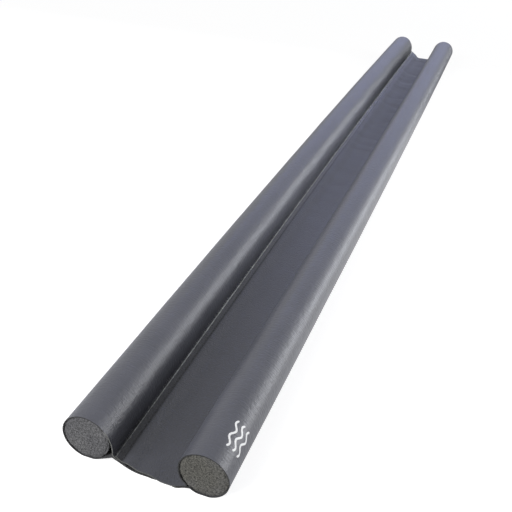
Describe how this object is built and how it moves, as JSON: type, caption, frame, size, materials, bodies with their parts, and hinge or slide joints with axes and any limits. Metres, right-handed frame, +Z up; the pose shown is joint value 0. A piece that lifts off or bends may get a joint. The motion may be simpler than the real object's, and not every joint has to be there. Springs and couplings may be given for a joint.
{
  "type": "double door draught excluder",
  "caption": "Long under-door draught excluder: foam rods in the two sleeves of one folded sheet, joined by a flat sewn web that passes under the door.",
  "frame": {"origin": "on the floor, midway between the two rods and midway along them", "axes": "+Y along the rods, +Z up, +X across the door from the sewn-edge rod to the plain rod"},
  "size_m": [0.0996, 0.95, 0.0294],
  "materials": {
    "cover": "fine embossed grain, semi-gloss, dark grey",
    "foam": "matt closed-cell foam, cut face speckled",
    "thread": "dull dark grey polyester",
    "print": "white ink, satin"
  },
  "bodies": {
    "root": {"cover": "cover", "foam_core_left": "foam", "foam_core_right": "foam", "left_seam_needle_thread": "thread", "left_seam_bobbin_thread": "thread", "right_seam_needle_thread": "thread", "right_seam_bobbin_thread": "thread"}
  },
  "joints": []
}
